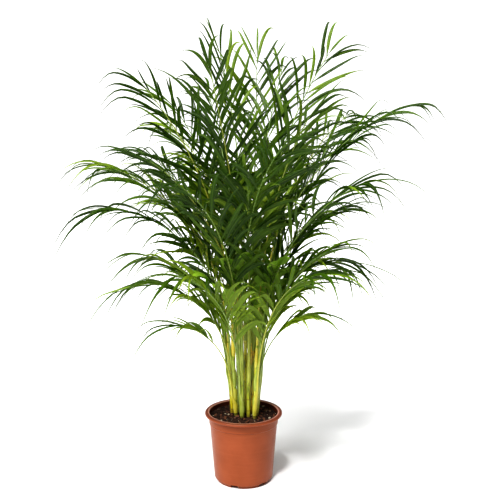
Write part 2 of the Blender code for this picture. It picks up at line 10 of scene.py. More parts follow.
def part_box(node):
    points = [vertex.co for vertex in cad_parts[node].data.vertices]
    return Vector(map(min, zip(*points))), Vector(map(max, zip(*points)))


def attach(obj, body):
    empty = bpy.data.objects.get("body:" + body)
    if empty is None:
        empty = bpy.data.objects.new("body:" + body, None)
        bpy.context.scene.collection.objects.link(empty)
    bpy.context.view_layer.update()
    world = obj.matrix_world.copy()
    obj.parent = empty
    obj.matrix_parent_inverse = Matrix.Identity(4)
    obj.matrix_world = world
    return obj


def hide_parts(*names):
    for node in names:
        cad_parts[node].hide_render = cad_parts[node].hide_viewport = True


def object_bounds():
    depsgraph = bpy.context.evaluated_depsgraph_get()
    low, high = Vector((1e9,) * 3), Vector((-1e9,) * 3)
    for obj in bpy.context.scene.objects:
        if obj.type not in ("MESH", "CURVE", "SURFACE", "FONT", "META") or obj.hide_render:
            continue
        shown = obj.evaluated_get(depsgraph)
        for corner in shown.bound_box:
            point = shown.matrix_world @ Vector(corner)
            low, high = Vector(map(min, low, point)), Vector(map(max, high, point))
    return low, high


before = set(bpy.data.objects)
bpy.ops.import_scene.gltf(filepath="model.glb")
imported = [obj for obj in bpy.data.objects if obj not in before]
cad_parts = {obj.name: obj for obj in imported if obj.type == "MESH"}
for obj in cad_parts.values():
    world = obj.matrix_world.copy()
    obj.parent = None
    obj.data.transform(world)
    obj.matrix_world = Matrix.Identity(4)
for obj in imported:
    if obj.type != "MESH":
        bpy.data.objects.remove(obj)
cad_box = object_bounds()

UP = Vector((0.0, 0.0, 1.0))
MERGE = 0.00001

# Pot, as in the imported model
POT_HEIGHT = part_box("pot")[1].z
RIM_RADIUS = 0.120
LIP_WIDTH = 0.0115
LIP_HEIGHT = 0.009
COLLAR_HEIGHT = 0.034
COLLAR_TAPER = 0.0015
SHOULDER_STEP = 0.0025
HEEL_RADIUS = 0.0915
HEEL_HEIGHT = 0.018
HEEL_ROUND = 0.0055
FOOT_INSET = 0.0075
FOOT_WIDTH = 0.006
FOOT_HEIGHT = 0.007
PAD_RADIUS = 0.014
POT_WALL = 0.0024
POT_FLOOR = 0.003
NOTCHES = 6
NOTCH_WIDTH = 0.023
NOTCH_HEIGHT = 0.011
NOTCH_DEPTH = 0.013
NOTCH_AZIMUTH = -108.4
POT_STEPS = 128
FLOOR_RADII = (0.045, 0.075)
FLOOR_ROUND = 0.004         # inside, where the floor meets the wall
FOOT_ROUND = 0.0008         # on the foot ring and on the pad
NOTCH_ROUND = 0.003
SHARPEST = math.radians(38.0)
SHOULDER = POT_HEIGHT - COLLAR_HEIGHT

# Soil
SOIL_TOP = 0.2010           # at the wall, a little above the packed soil
SOIL_RADIUS = 0.106
SOIL_DOME = 0.004
SOIL_SKIRT = 0.014          # how far the visible soil reaches down inside the pot
SOIL_RINGS = 34
SOIL_SIDES = 120
SOIL_LUMPS = ((55.0, 0.0022), (140.0, 0.0016), (420.0, 0.0012))     # noise scale and height
CRUMBS = 900
CRUMB_SIZE = (0.0010, 0.0034)   # the smallest, and what the largest has on top of it

# Canes
CANE_SIDES = 16
CANE_SLIM = 0.90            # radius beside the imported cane's
CANE_TRIM = 0.0002
CANE_SWAY = 0.0014
RING_PITCH = 0.006
FIRST_SCAR = 0.070          # height of the lowest scar above the cane's foot
SCAR_PITCH = (0.030, 0.058)
SCAR_CROWDING = 0.7         # pitch at the cane's top beside that at its foot
SCAR_EDGES = (-0.0016, -0.0006, 0.0004, 0.0018)
SCAR_SWELL = 0.00055
SCAR_GROOVE = 0.0004
BARE_TOP = 0.03             # no scar so near the cane's top
LEAST_PITCH = 0.0009        # between two rings of vertices

# Stalks
STALK_SIDES = 8
STALK_RADIUS = 0.0014       # the thinnest a stalk gets before its tip
STALK_PIECES = 3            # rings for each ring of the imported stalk
SHEATH_WALL = 0.0011
SHEATH_LENGTH = (0.055, 0.105)
SHEATH_LOWEST = 0.075       # height above the cane's foot at which the lowest sheath starts
SHEATH_LEAST = 0.02         # a shorter sheath is left out
SHEATH_RINGS = 9

# Reading a packed frond
TIP_LENGTH = 0.015          # a leaflet's tip has no shorter edge
FOOT_SIDE = 0.010           # and the stalk's foot no longer one

# Leaflets; lengths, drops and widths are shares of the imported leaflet's
BLADE_STATIONS = 12
BLADE_THICKNESS = 0.0007
LONGER = (1.05, 1.62)
LONGER_LEVEL = 1.15         # on top of it on a level stalk
LONGER_BROAD = 0.8          # and on a young leaf
DROOP = (0.12, 0.62)        # extra drop of the tip on an upright and on a level stalk
DROOP_BROAD = (0.40, 0.80)
LEAN = (0.42, 0.60)         # turn towards the tip of an upright and of a level stalk
SWAY = 0.10                 # bow to either side
TWIST = 1.0                 # from foot to tip, radians
FOLD = (0.35, 0.85)         # slope of both halves down from the rib, radians
HANG = (0.03, 0.26)         # drop of the drawn-out tip
HANG_FROM = 0.62
HALF_WIDTH = (0.32, 0.44)
HALF_WIDTH_BROAD = 0.66
CORE_WIDENING = 0.35        # of the leaflets in the heart of the crown
SPARE = 0.012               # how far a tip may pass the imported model's box
LOW_CANE = (0.47, 0.20)     # no leaflet hangs below this height within this radius
LOW_BASE = 0.44             # no leaflet leaves its stalk below this height

# Zones of the crown: the radius or height where each ends, and the band before it where it fades
FILLED_RADIUS, FILLED_HEIGHT = (0.32, 0.20), (1.04, 0.30)
CORE_RADIUS, CORE_HEIGHT = (0.24, 0.12), (1.02, 0.20)
# Painted light zones: leaflets in the heart of the crown below these heights get a lighter green
PAINTED_LIGHT_LOW_ZONE = (0.74, 0.22)
PAINTED_LIGHT_HALF_ZONE = (1.00, 0.25)

# Tones of the fronds, from 0 for the darkest green to 1 for the lightest
FROND_TONES = (0.12, 0.75)
YOUNG_TONES = (0.35, 0.75)
TONE_SPREAD = 0.34          # of a frond's leaflets around its own tone
# Painted light: leaflets in the heart of the crown are lightened below the low zone by this much, and
# below the half zone by one of these drawn at random, to offset the shade there
PAINTED_LIGHT_LOW_AMOUNT = 0.60
PAINTED_LIGHT_HALF_AMOUNTS = (0.0, 0.25, 0.75)
CANE_TONES = (0.62, 0.30, 0.95, 0.10, 0.55, 0.78, 0.35, 0.60, 0.88, 0.45, 0.25, 0.70, 0.50)

# Studio
FLOOR_REACH = 14.0
SOFT_LIGHT = 0.20
CAMERA_PLACE = (0.020, -2.06, 0.965)
CAMERA_TILT = 6.8           # degrees below level
CAMERA_LENS = 49.32
CAMERA_SENSOR = 36.0


# Materials


class Socket:
    """A shader node's output. Sums of it add Math nodes, and node() adds any other node."""

    def __init__(self, tree, output=None):
        self.tree = tree
        self.output = output

    def node(self, kind, settings=(), sockets=(), output=0):
        made = self.tree.nodes.new("ShaderNode" + kind)
        for name, value in dict(settings).items():
            if name == "stops":
                set_stops(made.color_ramp, value)
            else:
                setattr(made, name, value)
        for name, value in dict(sockets).items():
            if isinstance(value, Socket):
                self.tree.links.new(value.output, made.inputs[name])
            else:
                made.inputs[name].default_value = value
        return Socket(self.tree, made.outputs[output])

    def beside(self, output):
        """Another output of the same node."""
        return Socket(self.tree, self.output.node.outputs[output])

    def maths(self, operation, first, second=0.0):
        return self.node("Math", {"operation": operation}, {0: first, 1: second})

    def __add__(self, other):
        return self.maths("ADD", self, other)

    def __sub__(self, other):
        return self.maths("SUBTRACT", self, other)

    def __rsub__(self, other):
        return self.maths("SUBTRACT", other, self)

    def __mul__(self, other):
        return self.maths("MULTIPLY", self, other)

    def __truediv__(self, other):
        return self.maths("DIVIDE", self, other)

    __radd__ = __add__
    __rmul__ = __mul__

    def fade(self, start, end):
        """0 up to start, 1 from end on, with a soft passage between; start may be the higher."""
        low, high, first, last = (start, end, 0.0, 1.0) if start < end else (end, start, 1.0, 0.0)
        return self.node(
            "MapRange",
            {"interpolation_type": "SMOOTHSTEP"},
            {"Value": self, 1: low, 2: high, 3: first, 4: last},
        )

    def mix(self, colour, other):
        """colour where this mask is 0 and other where it is 1."""
        sockets = {0: self, 6: shade(colour), 7: shade(other)}
        return self.node("Mix", {"data_type": "RGBA"}, sockets, 2)

    def ramp(self, *stops):
        """The colour that a ramp of (position, colour) stops has at this value."""
        return self.node("ValToRGB", {"stops": stops}, {0: self})


def shade(colour):
    """A colour that a socket takes, from another socket or from red, green and blue."""
    return colour if isinstance(colour, Socket) else (*colour, 1.0)


def set_stops(ramp, stops):
    """Colour stops of a ramp: (position, colour), with the first and last already there."""
    while len(ramp.elements) < len(stops):
        ramp.elements.new(0.5)
    for element, (position, colour) in zip(ramp.elements, stops):
        element.position = position
        element.color = (*colour, 1.0)


def new_material(name):
    """An empty material and the socket that its nodes start from."""
    material = bpy.data.materials.new(name)
    material.use_nodes = True
    material.node_tree.nodes.clear()
    return material, Socket(material.node_tree)


def speckle(start, scale, detail=2.0, stretch=(1.0, 1.0, 1.0), roughness=0.5):
    """Noise from 0 to 1 on the object's own coordinates, in cycles a metre."""
    place = start.node("TexCoord", output="Object")
    place = start.node("Mapping", {}, {"Vector": place, "Scale": stretch})
    sockets = {"Vector": place, "Scale": scale, "Detail": detail, "Roughness": roughness}
    return start.node("TexNoise", {}, sockets)


def mark(start, name):
    """A number that the piece's mesh carries at each vertex."""
    return start.node("Attribute", {"attribute_name": name}, output="Fac")


def bump(start, height, depth, strength):
    """A normal that follows height, which is 1 at depth metres above the surface."""
    sockets = {"Height": height, "Distance": depth, "Strength": strength}
    return start.node("Bump", {}, sockets)


def close(start, colour, rough, normal, glow=None, share=0.0, **fixed):
    """Ends a material: a Principled shader, with light coming through it where glow is given."""
    sockets = {"Base Color": colour, "Roughness": rough, "Normal": normal}
    sockets.update({name.replace("_", " "): value for name, value in fixed.items()})
    surface = start.node("BsdfPrincipled", {}, sockets)
    if glow:
        through = start.node("BsdfTranslucent", {}, {"Color": (*glow, 1.0), "Normal": normal})
        surface = start.node("MixShader", {}, {0: share, 1: surface, 2: through})
    end = start.tree.nodes.new("ShaderNodeOutputMaterial")
    start.tree.links.new(surface.output, end.inputs["Surface"])


def plastic_finish():
    """Moulded terracotta plastic: fine grain, scuffs and dust, with a painted reflection darkening the
    lip, painted shade on the wall inside and a painted highlight along the lip's inner edge.
    """
    material, start = new_material("Terracotta plastic")
    place = start.node("TexCoord", output="Object")
    height = start.node("SeparateXYZ", {}, {0: place}, "Z")
    flat = start.node("VectorMath", {"operation": "MULTIPLY"}, {0: place, 1: (1.0, 1.0, 0.0)})
    reach = start.node("VectorMath", {"operation": "LENGTH"}, {0: flat}, "Value")
    cloud = speckle(start, 14.0, 4.0)
    streak = speckle(start, 9.0, 3.0, (1.0, 1.0, 16.0))
    grain = speckle(start, 1400.0, 2.0)
    scuff = speckle(start, 90.0, 5.0, (1.0, 1.0, 2.2), 0.62)
    colour = cloud.fade(0.3, 0.75).mix((0.250, 0.068, 0.025), (0.290, 0.080, 0.031))
    colour = (streak.fade(0.45, 0.75) * 0.20).mix(colour, (0.340, 0.105, 0.044))
    colour = (grain.fade(0.55, 0.8) * 0.12).mix(colour, (0.200, 0.052, 0.022))
    # Painted reflection: the top of the lip is darkened towards red-brown.
    lip = height.fade(POT_HEIGHT - 0.0040, POT_HEIGHT - 0.0010)
    colour = (lip * 0.60).mix(colour, (0.130, 0.042, 0.026))
    # Painted shade: the wall inside the pot, below the rim, is darkened to a deep brown.
    depth = collar_radius(height) - reach
    inside = depth.fade(0.0002, 0.0016) * height.fade(POT_HEIGHT - 0.032, POT_HEIGHT - 0.028)
    colour = (inside * 0.85).mix(colour, (0.095, 0.026, 0.012))
    # Painted highlight: a pale line along the inner edge of the lip's top.
    edge = reach.fade(RIM_RADIUS - LIP_WIDTH + 0.0032, RIM_RADIUS - LIP_WIDTH + 0.0018)
    edge = edge * height.fade(POT_HEIGHT - 0.0035, POT_HEIGHT - 0.0015)
    colour = (edge * 0.80).mix(colour, (0.560, 0.300, 0.230))
    dust = height.fade(0.030, 0.0) * scuff.fade(0.35, 0.7)
    colour = (dust * 0.35).mix(colour, (0.20, 0.075, 0.035))
    rough = 0.27 + cloud * 0.10 + scuff.fade(0.5, 0.8) * 0.14
    normal = bump(start, grain * 0.5 + streak * 0.6, 0.0005, 0.35)
    close(start, colour, rough, normal, Specular_IOR_Level=0.20)
    return material


def soil_finish():
    """Peaty compost: near-black crumbs with red-brown fibre and a few pale flecks."""
    material, start = new_material("Peat compost")
    coarse = speckle(start, 55.0, 5.0, roughness=0.62)
    fine = speckle(start, 420.0, 4.0, roughness=0.7)
    fibre = speckle(start, 150.0, 3.0, (1.0, 4.0, 2.0))
    tone = mark(start, "tone")
    colour = (fine * 0.6 + coarse * 0.4).ramp(
        (0.30, (0.006, 0.003, 0.002)),
        (0.50, (0.030, 0.014, 0.009)),
        (0.68, (0.120, 0.055, 0.032)),
    )
    colour = (fibre.fade(0.62, 0.72) * 0.7).mix(colour, (0.150, 0.055, 0.028))
    colour = tone.fade(0.60, 0.90).mix(colour, (0.200, 0.085, 0.045))
    colour = tone.fade(0.93, 0.97).mix(colour, (0.430, 0.360, 0.260))
    normal = bump(start, fine + coarse, 0.004, 0.9)
    close(start, colour, 0.82 + fine * 0.15, normal, Specular_IOR_Level=0.3)
    return material


def cane_finish():
    """Smooth ringed cane, from pale green through yellow-green to gold with brown freckles, and dark
    streaks of painted shade.
    """
    material, start = new_material("Golden cane")
    tone, scar = mark(start, "tone"), mark(start, "scar")
    streak = speckle(start, 300.0, 4.0, (1.0, 1.0, 0.05))
    cloud = speckle(start, 30.0, 4.0, (1.0, 1.0, 0.5))
    fleck = speckle(start, 260.0, 3.0, (1.0, 1.0, 0.45), 0.7)
    colour = (tone + (cloud - 0.5) * 0.22).ramp(
        (0.00, (0.380, 0.470, 0.170)),
        (0.22, (0.190, 0.290, 0.025)),
        (0.50, (0.340, 0.420, 0.020)),
        (0.74, (0.640, 0.560, 0.018)),
        (1.00, (0.620, 0.300, 0.012)),
    )
    colour = (streak.fade(0.50, 0.68) * 0.55).mix(colour, (0.700, 0.740, 0.220))
    # Painted shade: dark vertical streaks stand in for the shade in the gaps between canes.
    colour = (streak.fade(0.50, 0.36) * 0.85).mix(colour, (0.045, 0.075, 0.007))
    freckles = fleck.fade(0.60, 0.68) * tone.fade(0.55, 0.95)
    colour = (freckles * 0.85).mix(colour, (0.110, 0.045, 0.012))
    colour = (scar * (0.45 + cloud * 0.5)).mix(colour, (0.230, 0.150, 0.050))
    height = start.node("SeparateXYZ", {}, {0: start.node("TexCoord", output="Object")}, "Z")
    colour = (height.fade(SOIL_TOP + 0.024, SOIL_TOP) * 0.75).mix(colour, (0.110, 0.060, 0.020))
    rough = 0.34 + cloud * 0.12 + scar * 0.25
    normal = bump(start, streak * 0.5 + fleck * 0.3 - scar * 0.5, 0.0012, 0.5)
    close(start, colour, rough, normal, Coat_Weight=0.10, Coat_Roughness=0.25)
    return material


def stalk_finish():
    """Leaf stalk: pale yellow sheath and foot, turning green along the feather."""
    material, start = new_material("Leaf stalk")
    tone, along = mark(start, "tone"), mark(start, "along")
    streak = speckle(start, 260.0, 3.0, (1.0, 1.0, 0.12))
    fleck = speckle(start, 420.0, 3.0, roughness=0.7)
    green = along.ramp(
        (0.00, (0.300, 0.360, 0.050)),
        (0.12, (0.160, 0.240, 0.030)),
        (0.45, (0.150, 0.250, 0.032)),
        (1.00, (0.100, 0.200, 0.026)),
    )
    gold = along.ramp(
        (0.00, (0.640, 0.520, 0.050)),
        (0.30, (0.560, 0.520, 0.060)),
        (1.00, (0.210, 0.330, 0.045)),
    )
    colour = tone.fade(0.35, 0.95).mix(green, gold)
    colour = (streak.fade(0.45, 0.70) * 0.40).mix(colour, (0.560, 0.640, 0.210))
    colour = (streak.fade(0.48, 0.28) * 0.40).mix(colour, (0.090, 0.170, 0.022))
    colour = (fleck.fade(0.64, 0.70) * tone * 0.7).mix(colour, (0.120, 0.060, 0.020))
    normal = bump(start, streak + fleck * 0.3, 0.0008, 0.45)
    close(start, colour, 0.36 + streak * 0.14, normal, Coat_Weight=0.10, Coat_Roughness=0.25)
    return material


def blade_finish(name, greens, rib_and_highlight_colour, under_colour, glow, share, ribs):
    """Leaflet: glossy above and paler below, with ribs along it, a paler midrib that also carries a
    painted highlight, and a scorched tip.
    """
    material, start = new_material(name)
    tone = mark(start, "tone")
    around = start.node("SeparateXYZ", {}, {0: start.node("UVMap", {"uv_map": "Blade"})}, "X")
    along = around.beside("Y")
    under = around.fade(0.99, 1.01)
    across = start.maths("PINGPONG", around, 1.0)
    cloud = speckle(start, 38.0, 3.0)
    mottle = speckle(start, 330.0, 3.0)
    lines = start.maths("SINE", across * (ribs * math.tau))
    midrib = start.maths("ABSOLUTE", across - 0.5).fade(0.075, 0.02)
    margin = start.maths("ABSOLUTE", across - 0.5).fade(0.44, 0.50)
    colour = (tone + (cloud - 0.5) * 0.40).ramp(*greens)
    colour = (lines.fade(-1.0, 1.0) * 0.30).mix(colour, (0.004, 0.020, 0.002))
    colour = (mottle.fade(0.52, 0.75) * 0.18).mix(colour, rib_and_highlight_colour)
    colour = (under * 0.45).mix(colour, under_colour)
    # The midrib is partly its own paler green and partly a painted highlight along the rib.
    colour = (midrib * (0.50 + under * 0.20)).mix(colour, rib_and_highlight_colour)
    colour = (margin * 0.22).mix(colour, rib_and_highlight_colour)
    colour = (along.fade(0.16, 0.0) * 0.35).mix(colour, rib_and_highlight_colour)
    colour = (along.fade(0.78, 0.98) * 0.80).mix(colour, (0.040, 0.042, 0.014))
    rough = 0.20 + mottle * 0.12 + under * 0.24
    normal = bump(start, lines * 0.35 + mottle * 0.3 + midrib, 0.0005, 0.5)
    through = (1.0 - along.fade(0.60, 0.95) * 0.85) * share
    close(start, colour, rough, normal, glow, through, Specular_IOR_Level=0.36)
    return material


def floor_finish():
    """Plain pale studio floor."""
    material, start = new_material("Pale floor")
    cloud = speckle(start, 3.0, 3.0)
    colour = (cloud * 0.5).mix((0.880, 0.880, 0.880), (0.910, 0.910, 0.910))
    close(start, colour, 0.9, bump(start, cloud, 0.0002, 0.1), Specular_IOR_Level=0.1)
    return material


# Making pieces


def new_piece(name, bm, materials, node):
    """Turn a finished bmesh into a piece that rides with the plant and stands for its node."""
    mesh = bpy.data.meshes.new(name)
    bm.to_mesh(mesh)
    bm.free()
    for material in materials:
        mesh.materials.append(material)
    piece = bpy.data.objects.new(name, mesh)
    bpy.context.scene.collection.objects.link(piece)
    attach(piece, "root")
    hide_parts(node)
    return piece


def soften(bm):
    """Smooth shading that stops at sharp edges."""
    for face in bm.faces:
        face.smooth = True
    for edge in bm.edges:
        edge.smooth = edge.is_boundary or edge.calc_face_angle(0.0) < SHARPEST


def mark_layers(bm, *names):
    """Layers for the numbers that a mesh carries at its vertices."""
    return [bm.verts.layers.float.new(name) for name in names]


def set_ring(verts, centre, direction, up, up_radius, side_radius):
    """Spread a ring's vertices on an oval square to direction."""
    side = direction.cross(up).normalized()
    above = side.cross(direction).normalized()
    for n, vert in enumerate(verts):
        angle = math.tau * n / len(verts)
        vert.co = centre + above * (up_radius * math.cos(angle)) + side * (side_radius * math.sin(angle))


def grow_tube(bm, rings, sides, layers):
    """Extrude a capped circle through rings of (centre, direction, up, radii, marks)."""
    verts = bmesh.ops.create_circle(bm, cap_ends=True, segments=sides, radius=1.0)["verts"]
    face = verts[0].link_faces[0]
    first, made = None, []
    for ring in rings:
        if first is None:
            verts = list(face.verts)
            first = verts
        else:
            face = bmesh.ops.extrude_discrete_faces(bm, faces=[face])["faces"][0]
            verts = list(face.verts)
        set_ring(verts, *ring[:5])
        for vert in verts:
            for layer, value in zip(layers, ring[5]):
                vert[layer] = value
        made += verts
    rim = [edge for edge in {e for v in first for e in v.link_edges} if edge.is_boundary]
    bmesh.ops.holes_fill(bm, edges=rim, sides=sides)
    faces = list({face for vert in made for face in vert.link_faces})
    bmesh.ops.recalc_face_normals(bm, faces=faces)
    for face in faces:
        face.smooth = len(face.verts) == 4


def smooth_path(points, pieces):
    """Points along a soft curve through the given ones, with pieces between two of them."""
    course = []
    for n in range(len(points) - 1):
        before = points[max(n - 1, 0)]
        start, end = points[n], points[n + 1]
        after = points[min(n + 2, len(points) - 1)]
        for k in range(pieces):
            t = k / pieces
            course.append(0.5 * (
                2.0 * start + (end - before) * t
                + (2.0 * before - 5.0 * start + 4.0 * end - after) * t ** 2
                + (3.0 * start - before - 3.0 * end + after) * t ** 3
            ))
    return course + [points[-1]]


def between(low, high, share):
    return low + (high - low) * share


def ease(value):
    """A soft step from 0 to 1."""
    value = min(1.0, max(0.0, value))
    return value * value * (3.0 - 2.0 * value)


def within(value, end, band):
    """1 up to band before end, 0 from end on, and a soft step between."""
    return ease((end - value) / band)


# Pot


def arc(radius, height, size, start, end, count):
    """Profile points along an arc, with angles in degrees from straight outward."""
    angles = [math.radians(between(start, end, k / count)) for k in range(count + 1)]
    return [(radius + size * math.cos(angle), height + size * math.sin(angle)) for angle in angles]


def collar_radius(height):
    """Outer radius of the collar at a height, which may be a number or a shader's."""
    return RIM_RADIUS - LIP_WIDTH - COLLAR_TAPER * (POT_HEIGHT - height) / COLLAR_HEIGHT


def inner_profile():
    """The floor and the wall inside, from the middle outwards and up to the rim."""
    wide, collar = collar_radius(SHOULDER), collar_radius(POT_HEIGHT)
    floor = FOOT_HEIGHT + POT_FLOOR
    points = [
        (0.0, floor), *((radius, floor) for radius in FLOOR_RADII),
        *arc(HEEL_RADIUS - HEEL_ROUND - FLOOR_ROUND, floor + FLOOR_ROUND, FLOOR_ROUND, -90.0, -20.0, 4),
        (HEEL_RADIUS - POT_WALL, HEEL_HEIGHT),
    ]
    for share in (0.25, 0.5, 0.75):
        points.append((
            between(HEEL_RADIUS, wide - SHOULDER_STEP, share) - POT_WALL,
            between(HEEL_HEIGHT, SHOULDER - SHOULDER_STEP, share),
        ))
    return points + [
        (wide - SHOULDER_STEP - POT_WALL, SHOULDER - SHOULDER_STEP - 0.0006),
        (wide - POT_WALL - 0.0006, SHOULDER - 0.0004),
        (wide - POT_WALL, SHOULDER + 0.0006),
        (between(wide, collar, 0.5) - POT_WALL, between(SHOULDER, POT_HEIGHT, 0.5)),
        (collar - POT_WALL, POT_HEIGHT - POT_WALL - 0.002),
    ]


def rim_profile():
    """The rolled lip, from the inside over the top and back under it to the collar."""
    lip, collar = LIP_HEIGHT / 2.0, collar_radius(POT_HEIGHT)
    under_lip = POT_HEIGHT - LIP_HEIGHT
    return [
        *arc(collar + 0.0006, POT_HEIGHT - 0.003, 0.003, 180.0, 90.0, 6),
        *arc(RIM_RADIUS - lip, POT_HEIGHT - lip, lip, 90.0, -90.0, 14),
        (RIM_RADIUS - lip - 0.0025, under_lip + 0.0012),
        (collar + 0.0010, under_lip + 0.0006),
        (collar_radius(under_lip) + 0.0003, under_lip - 0.0004),
        (collar_radius(under_lip - 0.001), under_lip - 0.0016),
    ]


def wall_profile():
    """The collar, the small step at its foot and the tapered wall down to the heel."""
    wide, collar = collar_radius(SHOULDER), collar_radius(POT_HEIGHT)
    points = [
        (between(collar, wide, 0.6), between(POT_HEIGHT, SHOULDER, 0.6)),
        (wide, SHOULDER + 0.0013),
        *arc(wide - 0.0009, SHOULDER + 0.0005, 0.0009, 0.0, -60.0, 4),
        (wide - SHOULDER_STEP + 0.0007, SHOULDER - SHOULDER_STEP + 0.0006),
        (wide - SHOULDER_STEP + 0.0001, SHOULDER - SHOULDER_STEP),
        (wide - SHOULDER_STEP, SHOULDER - SHOULDER_STEP - 0.0012),
    ]
    for share in (0.25, 0.5, 0.75, 0.97):
        points.append((
            between(wide - SHOULDER_STEP, HEEL_RADIUS, share),
            between(SHOULDER - SHOULDER_STEP, HEEL_HEIGHT, share),
        ))
    return points


def foot_profile():
    """The rounded heel, the foot ring and the pad in the middle of the underside."""
    foot = HEEL_RADIUS - FOOT_INSET
    return [
        (HEEL_RADIUS, HEEL_HEIGHT),
        *arc(HEEL_RADIUS - HEEL_ROUND, FOOT_HEIGHT + HEEL_ROUND, HEEL_ROUND, 0.0, -90.0, 8),
        (foot + 0.0006, FOOT_HEIGHT),
        (foot, FOOT_HEIGHT - 0.0006),
        (foot, FOOT_ROUND),
        *arc(foot - FOOT_ROUND, FOOT_ROUND, FOOT_ROUND, 0.0, -90.0, 3),
        *arc(foot - FOOT_WIDTH + FOOT_ROUND, FOOT_ROUND, FOOT_ROUND, -90.0, -180.0, 3),
        (foot - FOOT_WIDTH, FOOT_HEIGHT),
        (FLOOR_RADII[0], FOOT_HEIGHT),
        (PAD_RADIUS, FOOT_HEIGHT),
        (PAD_RADIUS, FOOT_ROUND),
        *arc(PAD_RADIUS - FOOT_ROUND, FOOT_ROUND, FOOT_ROUND, 0.0, -90.0, 3),
        (0.0, 0.0),
    ]


def notch_cutter():
    """Rounded blocks that cut the drain notches out of the foot."""
    bm = bmesh.new()
    inner, outer = HEEL_RADIUS - FOOT_INSET - NOTCH_DEPTH, RIM_RADIUS
    for k in range(NOTCHES):
        turn = math.radians(NOTCH_AZIMUTH + 360.0 * k / NOTCHES)
        size = Matrix.Diagonal((outer - inner, NOTCH_WIDTH, 2.0 * NOTCH_HEIGHT, 1.0))
        place = Matrix.Translation(((outer + inner) / 2.0, 0.0, 0.0))
        matrix = Matrix.Rotation(turn, 4, "Z") @ place @ size
        block = bmesh.ops.create_cube(bm, size=1.0, matrix=matrix)["verts"]
        radial = Vector((math.cos(turn), math.sin(turn), 0.0))
        long_edges = [
            edge for edge in {e for v in block for e in v.link_edges}
            if abs((edge.verts[0].co - edge.verts[1].co).normalized().dot(radial)) > 0.9
        ]
        bmesh.ops.bevel(
            bm, geom=long_edges, offset=NOTCH_ROUND, offset_type="OFFSET", segments=5,
            profile=0.5, affect="EDGES", material=-1,
        )
    mesh = bpy.data.meshes.new("notch_blocks")
    bm.to_mesh(mesh)
    bm.free()
    cutter = bpy.data.objects.new("notch_blocks", mesh)
    bpy.context.scene.collection.objects.link(cutter)
    return cutter


def make_pot(material):
    """The turned pot, with its drain notches cut out of the foot."""
    bm = bmesh.new()
    profile = inner_profile() + rim_profile() + wall_profile() + foot_profile()
    verts = [bm.verts.new((radius, 0.0, height)) for radius, height in profile]
    edges = [bm.edges.new(pair) for pair in zip(verts, verts[1:])]
    bmesh.ops.spin(
        bm, geom=verts + edges, axis=UP, cent=(0.0, 0.0, 0.0), angle=math.tau,
        steps=POT_STEPS, use_merge=True,
    )
    bmesh.ops.remove_doubles(bm, verts=bm.verts[:], dist=MERGE)
    bmesh.ops.recalc_face_normals(bm, faces=bm.faces[:])
    pot = new_piece("moulded_pot", bm, [material], "pot")
    cutter = notch_cutter()
    cut = pot.modifiers.new("Notches", "BOOLEAN")
    cut.object = cutter
    cut.solver = "EXACT"
    graph = bpy.context.evaluated_depsgraph_get()
    bm = bmesh.new()
    bm.from_mesh(pot.evaluated_get(graph).to_mesh())
    pot.modifiers.remove(cut)
    bpy.data.objects.remove(cutter)
    bmesh.ops.remove_doubles(bm, verts=bm.verts[:], dist=MERGE)
    soften(bm)
    for face in bm.faces:
        face.material_index = 0
    bm.to_mesh(pot.data)
    bm.free()


# Soil


def soil_height(place):
    """Height of the crumbly top of the soil at a place."""
    radius = Vector((place.x, place.y)).length / SOIL_RADIUS
    dome = SOIL_DOME * (1.0 - radius * radius)
    lumps = sum(noise.noise(place * pitch) * height for pitch, height in SOIL_LUMPS)
    return SOIL_TOP + dome + lumps * between(0.35, 1.0, within(radius, 1.0, 0.12))


def scatter_crumbs(bm, tone, reach):
    """Crumbs of many sizes and tones, half sunk in the soil's top."""
    draw = random.Random(11)
    for _ in range(CRUMBS):
        radius = reach * math.sqrt(draw.random())
        turn = draw.random() * math.tau
        place = Vector((radius * math.cos(turn), radius * math.sin(turn), SOIL_TOP))
        size = CRUMB_SIZE[0] + CRUMB_SIZE[1] * draw.random() ** 2.2
        colour = draw.random()
        long = Matrix.Diagonal((size * draw.uniform(0.8, 2.0), size, size * draw.uniform(0.5, 0.9), 1.0))
        spin = Matrix.Rotation(draw.random() * math.tau, 4, "Z")
        tilt = Matrix.Rotation(draw.uniform(-0.5, 0.5), 4, "X")
        place.z = soil_height(place) + size * 0.25
        crumb = bmesh.ops.create_icosphere(
            bm, subdivisions=1, radius=1.0, matrix=Matrix.Translation(place) @ spin @ tilt @ long,
        )
        for vert in crumb["verts"]:
            offset = vert.co - place
            vert.co = place + offset * (1.0 + 0.35 * noise.noise(vert.co * 900.0))
            vert[tone] = colour


def make_soil(material):
    """A low drum of soil with a lumpy top, and the crumbs that lie on it."""
    bm = bmesh.new()
    [tone] = mark_layers(bm, "tone")
    edge_radius = collar_radius(SOIL_TOP) - POT_WALL - 0.0006
    bottom = bmesh.ops.create_circle(bm, cap_ends=True, segments=SOIL_SIDES, radius=edge_radius)
    for vert in bottom["verts"]:
        vert.co.z = SOIL_TOP - SOIL_SKIRT
    face = bottom["verts"][0].link_faces[0]
    wall = bmesh.ops.extrude_face_region(bm, geom=[face])["geom"]
    top = next(item for item in wall if isinstance(item, bmesh.types.BMFace))
    for vert in top.verts:
        vert.co.z = SOIL_TOP
    step = edge_radius / SOIL_RINGS
    for _ in range(SOIL_RINGS - 1):
        bmesh.ops.inset_region(bm, faces=[top], thickness=step, use_even_offset=False)
    bmesh.ops.poke(bm, faces=[top])
    for vert in bm.verts:
        if vert.co.z > SOIL_TOP - SOIL_SKIRT + 0.001:
            vert.co.z = soil_height(vert.co)
    bmesh.ops.recalc_face_normals(bm, faces=bm.faces[:])
    scatter_crumbs(bm, tone, edge_radius * 0.965)
    for face in bm.faces:
        face.smooth = len(face.verts) == 4 or face.calc_area() > 2e-5
    new_piece("peat_soil", bm, [material], "soil")


# Canes


